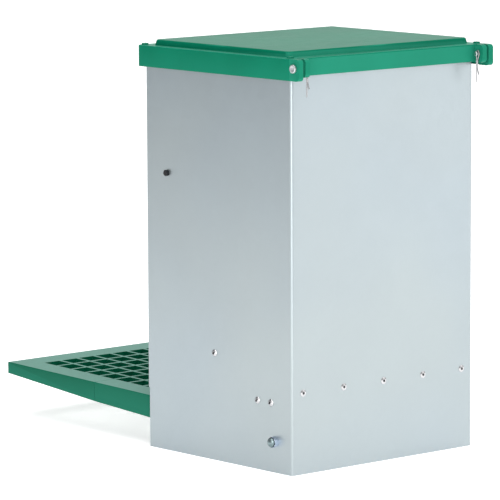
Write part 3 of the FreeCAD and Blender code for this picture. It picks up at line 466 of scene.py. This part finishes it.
RIVET_BORE, RIVET_SHANK, RIVET_TAIL, RIVET_RIM = 1.35 * MM, 2.0 * MM, 2.9 * MM, 0.28 * MM
BORE_ROUNDING, BORE_LIP, EDGE_BREAK = 0.25 * MM, 0.12 * MM, 0.1 * MM
TAIL_DEPTH, TAIL_SHOULDER, TAIL_NECK = 1.8 * MM, 2.2 * MM, 2.4 * MM
TAIL_ROUNDING, NECK_SLOPE = 0.6 * MM, 0.4 * MM
MANDREL_BALL, BALL_ROUNDING = 1.0 * MM, 0.3 * MM
MANDREL_SINK, MANDREL_EDGE, MANDREL_TIP = 0.9 * MM, 0.62 * MM, 0.55 * MM
HEAD_RISE, SIDE_HEAD_RISE, SIDE_HEAD_SWELL = 1.1 * MM, 1.5 * MM, 0.8 * MM
RIVET_STEPS, DOME_STEPS = 40, 7


def rivet_profile(head, rise, grip):
    """Half section of a set blind rivet, from its tail to the broken mandrel in its head."""
    crown = rise - RIVET_RIM
    ball = (head ** 2 + crown ** 2) / (2 * crown)
    dome_centre = (0.0, rise - ball)
    start = math.degrees(math.asin((RIVET_RIM - dome_centre[1]) / ball))
    stop = math.degrees(math.acos((RIVET_BORE + BORE_ROUNDING) / ball))
    dome = arc(dome_centre, ball, start, stop, DOME_STEPS)
    top = dome[-1][1]
    tail = -grip - TAIL_DEPTH
    ball_end = tail - EDGE_BREAK
    barrel = [(0.0, ball_end), (MANDREL_BALL, ball_end), (MANDREL_BALL + BALL_ROUNDING, tail),
              (TAIL_SHOULDER, tail), (RIVET_TAIL, tail + TAIL_ROUNDING), (RIVET_TAIL, -grip - NECK_SLOPE),
              (TAIL_NECK, -grip), (RIVET_SHANK, -grip), (RIVET_SHANK, 0.0), (head - EDGE_BREAK, 0.0)]
    bore = [(RIVET_BORE, top - BORE_LIP), (RIVET_BORE, top - MANDREL_SINK)]
    mandrel = [(RIVET_BORE - EDGE_BREAK, top - MANDREL_SINK),
               (RIVET_BORE - BORE_ROUNDING, top - MANDREL_EDGE), (0.0, top - MANDREL_TIP)]
    return barrel + dome + bore + mandrel, len(barrel) + len(dome)


def make_rivets(node, name, axis_index, sign, rise, swell=0.0):
    """All the rivets of one node. Heads point along sign, or outward where it is 0; some swell higher."""
    bm = bmesh.new()
    other = next(i for i in range(3) if i != axis_index)
    for low, high in solids_of(node):
        out_sign = sign if sign else math.copysign(1, low[0] + high[0])
        axis = Vector([out_sign if i == axis_index else 0 for i in range(3)])
        head = (high[other] - low[other]) / 2
        outer, inner = (high, low) if out_sign > 0 else (low, high)
        length = abs(outer[axis_index] - inner[axis_index])
        foot = (low + high) / 2
        foot[axis_index] = outer[axis_index] - out_sign * rise
        profile, metal_points = rivet_profile(head, rise + swell, length - rise - TAIL_DEPTH)
        turned(bm, profile, foot, axis, RIVET_STEPS, lambda index: int(index >= metal_points))
    piece = piece_from(bm, name)
    # The mandrels in the bores take the near-black painted-shade steel.
    dress(piece, "rivet_metal", MANDREL_SHADE)
    stand_in(piece, node)


def all_rivets():
    along_x, along_y = 0, 1
    make_rivets("back_rivets", "back_blind_rivets", along_y, 1, HEAD_RISE)
    for side, sign in SIDES.items():
        make_rivets(f"side_rivets_{side}", f"side_blind_rivets_{side}", along_x, sign, SIDE_HEAD_RISE,
                    SIDE_HEAD_SWELL)
    make_rivets("hinge_bracket_rivets", "bracket_blind_rivets", along_x, 0, HEAD_RISE)


# ---- Nuts, pins and clips --------------------------------------------------------------------------

NUT_FLAT, NUT_HEIGHT, NUT_BORE, BORE_DEPTH = 5.0 * MM, 5.0 * MM, 3.1 * MM, 1.5 * MM
NUT_CHAMFER, CHAMFER_RISE = 0.55 * MM, 0.35 * MM
NUT_COLLAR, COLLAR_RISE, COLLAR_SINK = 4.7 * MM, 1.2 * MM, 0.02 * MM
FLAT_STEPS, END_STEPS = 16, 10
PIN_SHANK, PIN_HEAD_THICK, PIN_TAPER = 2.4 * MM, 2.5 * MM, 0.5 * MM
PIN_EDGE, PIN_CHAMFER, PIN_DISH = 0.75 * MM, 0.2 * MM, 0.15 * MM
PIN_DISH_START, PIN_DISH_REACH, PIN_DISH_LIP = 1.5 * MM, 1.8 * MM, 0.05 * MM
PIN_CENTRE = 0.8                                     # depth at the dish's middle, as a share of the dish
ROUND_STEPS = 56
CLIP_WIRE = 0.65 * MM
CLIP_BEND = ((0, -28.4), (0, -20), (0, -10), (0, -4), (0, 1.2), (0.45, 2.7), (1.7, 3.25), (3.0, 2.4),
             (3.55, 0.6), (3.3, -1.6), (2.4, -3.8), (1.65, -6.6), (1.35, -10), (1.45, -14.2), (2.2, -17.8),
             (3.3, -20.8))


def outward_ends(node, sign):
    """A part's inner and outer X, seen from the middle of the feeder."""
    low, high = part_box(node)
    return (low.x, high.x) if sign > 0 else (high.x, low.x)


def hexagon_reach(angle, chamfer):
    """How far a hexagon reaches at an angle, cut back at its corners by the chamfer."""
    off_flat = (angle + math.radians(30)) % math.radians(60) - math.radians(30)
    corner = NUT_FLAT / math.cos(math.radians(30))
    return min(NUT_FLAT / math.cos(off_flat), corner - chamfer)


def cap_nut(side):
    """A domed cap nut: chamfered hexagon, turned collar and a round end."""
    node, sign = f"pivot_nut_{side}", SIDES[side]
    base_x, tip_x = outward_ends(node, sign)
    pivot = Vector(JOINTS["treadle_hinge"]["pos_m"])
    axis = Vector((sign, 0, 0))
    foot = Vector((base_x, pivot.y, pivot.z))
    bm = bmesh.new()
    angles = [math.radians(60 * k / FLAT_STEPS) for k in range(6 * FLAT_STEPS)]

    def ring(height, reach_at):
        return [bm.verts.new(foot + axis * height + Vector((0, math.cos(a), math.sin(a))) * reach_at(a))
                for a in angles]

    rings = [ring(height, lambda a: NUT_BORE) for height in (BORE_DEPTH, 0.0)]
    for height, chamfer in ((0.0, NUT_CHAMFER), (CHAMFER_RISE, 0.0), (NUT_HEIGHT - CHAMFER_RISE, 0.0),
                            (NUT_HEIGHT, NUT_CHAMFER)):
        rings.append(ring(height, lambda a: hexagon_reach(a, chamfer)))
    join_rings(bm, rings)
    rise = abs(tip_x - base_x) - NUT_HEIGHT
    dome_rise = rise - COLLAR_RISE
    ball = (NUT_COLLAR ** 2 + dome_rise ** 2) / (2 * dome_rise)
    start = math.degrees(math.acos(NUT_COLLAR / ball))
    dome = arc((0.0, NUT_HEIGHT + rise - ball), ball, start, 90, END_STEPS)[1:-1]
    profile = [(NUT_COLLAR, NUT_HEIGHT - COLLAR_SINK), (NUT_COLLAR, NUT_HEIGHT),
               (NUT_COLLAR, NUT_HEIGHT + COLLAR_RISE - EDGE_BREAK), *dome, (0.0, NUT_HEIGHT + rise)]
    turned(bm, profile, foot, axis, ROUND_STEPS, lambda index: 1)
    piece = piece_from(bm, f"cap_nut_{side}", crease=28.0)
    # The dome takes the darkened zinc, as painted shade.
    dress(piece, "nut_plating", DOME_ZINC_SHADED)
    stand_in(piece, node)


def clevis_pin(side):
    """The lid's hinge pin: slightly dished head with a rolled rim, shank with a chamfered end."""
    node, sign = f"hinge_pin_{side}", SIDES[side]
    low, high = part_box(node)
    inner_x, outer_x = outward_ends(node, sign)
    hinge = Vector(JOINTS["lid_hinge"]["pos_m"])
    head, length = (high.y - low.y) / 2, abs(outer_x - inner_x)
    under_head = length - PIN_HEAD_THICK
    profile = [(0.0, 0.0), (PIN_SHANK - PIN_TAPER, 0.0), (PIN_SHANK, PIN_TAPER), (PIN_SHANK, under_head),
               (head - PIN_CHAMFER, under_head), (head, under_head + PIN_CHAMFER),
               *arc((head - PIN_EDGE, length - PIN_EDGE), PIN_EDGE, 0, 90, 5),
               (head - PIN_DISH_START, length - PIN_DISH_LIP), (head - PIN_DISH_REACH, length - PIN_DISH),
               (0.0, length - PIN_DISH * PIN_CENTRE)]
    bm = bmesh.new()
    turned(bm, profile, (inner_x, hinge.y, hinge.z), (sign, 0, 0), ROUND_STEPS)
    piece = piece_from(bm, f"clevis_pin_{side}")
    dress(piece, "zinc_hardware", finish=SATIN_ZINC)
    stand_in(piece, node)


def spring_clip(side):
    """The clip on a hinge pin, as one bent wire. The bend points are (y, z) in mm from the pin's axis."""
    node = f"hinge_clip_{side}"
    low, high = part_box(node)
    hinge = Vector(JOINTS["lid_hinge"]["pos_m"])
    points = [Vector(((low.x + high.x) / 2, hinge.y + y * MM, hinge.z + z * MM)) for y, z in CLIP_BEND]
    bm = bmesh.new()
    wire(bm, smooth_path(points), CLIP_WIRE)
    piece = piece_from(bm, f"spring_clip_{side}", crease=60.0)
    dress(piece, "spring_wire")
    stand_in(piece, node)


# ---- Return springs --------------------------------------------------------------------------------

SPRING_WIRE, SPRING_RADIUS, SPRING_PITCH = 0.6 * MM, 4.0 * MM, 1.7 * MM
ARM_HALF_THICK, ARM_RISE = 1.25 * MM, 2.45           # the arm climbs from its pivot, in degrees
UPPER_HOOK, LOWER_HOOK = 3.6 * MM, 7.5 * MM
COIL_STEPS = 28


def coil_spring(side):
    """A return spring with looped hooks. It stretches between the housing's bracket and the treadle's arm."""
    node, sign = f"return_spring_{side}", SIDES[side]
    low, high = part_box(node)
    arm_x = outward_ends(f"treadle_arm_{side}", sign)[1]
    centre_x, centre_y = arm_x - sign * ARM_HALF_THICK, (low.y + high.y) / 2
    pivot = Vector(JOINTS["treadle_hinge"]["pos_m"])
    arm_z = pivot.z + (pivot.y - centre_y) * math.tan(math.radians(ARM_RISE))
    bottom, top = arm_z + LOWER_HOOK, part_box(f"spring_bracket_{side}")[0].z - UPPER_HOOK
    turns = round((top - bottom) / SPRING_PITCH)

    def at(x, y, z):
        """A point x and y mm from the spring's axis, at height z in metres."""
        return Vector((centre_x + sign * x * MM, centre_y + y * MM, z))

    coil = []
    for i in range(turns * COIL_STEPS + 1):
        angle = 2 * math.pi * i / COIL_STEPS
        z = bottom + (top - bottom) * i / (turns * COIL_STEPS)
        coil.append(Vector((centre_x + sign * SPRING_RADIUS * math.cos(angle),
                            centre_y + SPRING_RADIUS * math.sin(angle), z)))
    hook_top = high.z - SPRING_WIRE
    upper = smooth_path([
        coil[-1], at(3.1, 1.6, top + 0.5 * MM), at(1.0, 0.9, top + 1.3 * MM), at(0, 0, top + 2.6 * MM),
        at(0, 0, hook_top - 1.6 * MM), at(0.7, 0, hook_top - 0.3 * MM), at(2.0, 0, hook_top),
        at(3.2, 0, hook_top - 0.2 * MM)])[1:]
    lower = smooth_path([
        coil[0], at(3.7, -1.5, bottom - 0.6 * MM), at(2.9, -0.8, bottom - 1.5 * MM),
        at(2.45, 0, bottom - 2.6 * MM), at(2.45, 0, arm_z + 1.2 * MM), at(1.9, 0, arm_z + 0.2 * MM),
        at(0.6, 0, arm_z), at(-1.25, 0, arm_z), at(-2.6, 0, arm_z)])[1:]
    bm = bmesh.new()
    wire(bm, lower[::-1] + coil + upper, SPRING_WIRE, segments=12)
    piece = piece_from(bm, f"coil_spring_{side}", crease=60.0)
    dress(piece, "spring_wire")
    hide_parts(node)
    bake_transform(piece)


def fine_hardware():
    all_rivets()
    for side in SIDES:
        cap_nut(side)
        clevis_pin(side)
        spring_clip(side)
        coil_spring(side)


def dress_cad_nodes():
    """Every carried-over node takes the better material of its own slot."""
    for part in frame["record"]["subparts"]:
        dress(NODES[part["node"]], part["material_slot"])


# ---- Studio ----------------------------------------------------------------------------------------

UP = (0.0, 0.0, 1.0)
FRONT_RIGHT = (0.35, -0.94, 0.0)
BEYOND_FEEDER = (-0.66, -0.75, 0.05)
HIGH_FRONT_RIGHT = (0.50, -0.74, 0.45)
HIGH_FRONT = (0.15, -0.95, 0.27)
FLAG_LEFT_OVER = 0.08
LIGHTS = {                                           # place, target, size in metres, power in watts
    "overhead": ((0.1, 0.2, 2.2), (0, 0, 0.2), (2.4, 2.4), 25),
    "strip_light": ((0.84, 0.95, 0.46), (0.1, 0.1, 0.25), (0.62, 0.90), 5.2),
    "rear_panel": ((-0.82, 1.05, 0.42), (0, 0.1, 0.2), (0.8, 0.8), 1.3),
}
CARD_PLACE, CARD_SIZE = (1.25, -1.45, 0.95), (2.6, 1.7, 1)
FLOOR_SIZE = 60


def area_light(name, place, target, size, power):
    data = bpy.data.lights.new(name, "AREA")
    data.shape, data.size, data.size_y = "RECTANGLE", *size
    data.energy = power
    light = bpy.data.objects.new(name, data)
    light.location = place
    light.rotation_euler = (Vector(target) - Vector(place)).to_track_quat("-Z", "Y").to_euler()
    light.visible_camera = False
    bpy.context.scene.collection.objects.link(light)


def make_world():
    """A soft white surround, brightest overhead and beyond the feeder, with two dark flags in front."""
    world = bpy.data.worlds.new("studio")
    world.use_nodes = True
    bpy.context.scene.world = world
    n = Nodes(world.node_tree)
    background = world.node_tree.nodes["Background"]
    direction = n.add("ShaderNodeTexCoord").outputs["Generated"]

    def towards(way, low, high, to_low, to_high, kind="SMOOTHSTEP"):
        """A value that follows the cosine between the looked-at direction and a way."""
        return n.span(n.along(direction, way), low, high, to_low, to_high, kind)

    ring = towards(FRONT_RIGHT, -0.2, 0.9, 0.60, 0.50, "LINEAR")
    zenith = towards(UP, 0.2, 1.0, 0.0, 0.7, "LINEAR")
    beyond = towards(BEYOND_FEEDER, 0.75, 0.97, 0.0, 0.28)
    flags = n.math("MULTIPLY", towards(HIGH_FRONT_RIGHT, 0.70, 0.88, 1.0, FLAG_LEFT_OVER),
                   towards(HIGH_FRONT, 0.90, 0.97, 1.0, FLAG_LEFT_OVER))
    bright = n.math("MULTIPLY", n.math("ADD", n.math("ADD", ring, zenith), beyond), flags)
    plug(n, background, "Color", n.mix(1.0, (0, 0, 0), bright))
    plug(n, background, "Strength", 1.0)


def grey_card():
    """A dull card that stands to the right of the feeder's front and only shows as a reflection."""
    made = paper("grey_card", (900.0, 2.0, 0.5), (0.31, 0.32, 0.33), (0.36, 0.37, 0.38), 0.95)[0]
    bpy.ops.mesh.primitive_plane_add(size=1, location=CARD_PLACE)
    card = bpy.context.object
    card.name = "grey_card"
    card.scale = CARD_SIZE
    card.rotation_euler = Vector((*CARD_PLACE[:2], 0)).to_track_quat("-Z", "Y").to_euler()
    card.data.materials.append(made)
    card.visible_camera = card.visible_shadow = card.visible_diffuse = False


def make_floor():
    bpy.ops.mesh.primitive_plane_add(size=FLOOR_SIZE)
    floor = bpy.context.object
    floor.name = "floor"
    floor.data.materials.append(studio_floor())


def make_studio():
    make_world()
    for name, settings in LIGHTS.items():
        area_light(name, *settings)
    grey_card()
    make_floor()
    view = bpy.context.scene.view_settings
    view.view_transform, view.look = "Standard", "None"


make_camera()
make_studio()
dress_cad_nodes()
moulded_pieces()
fine_hardware()
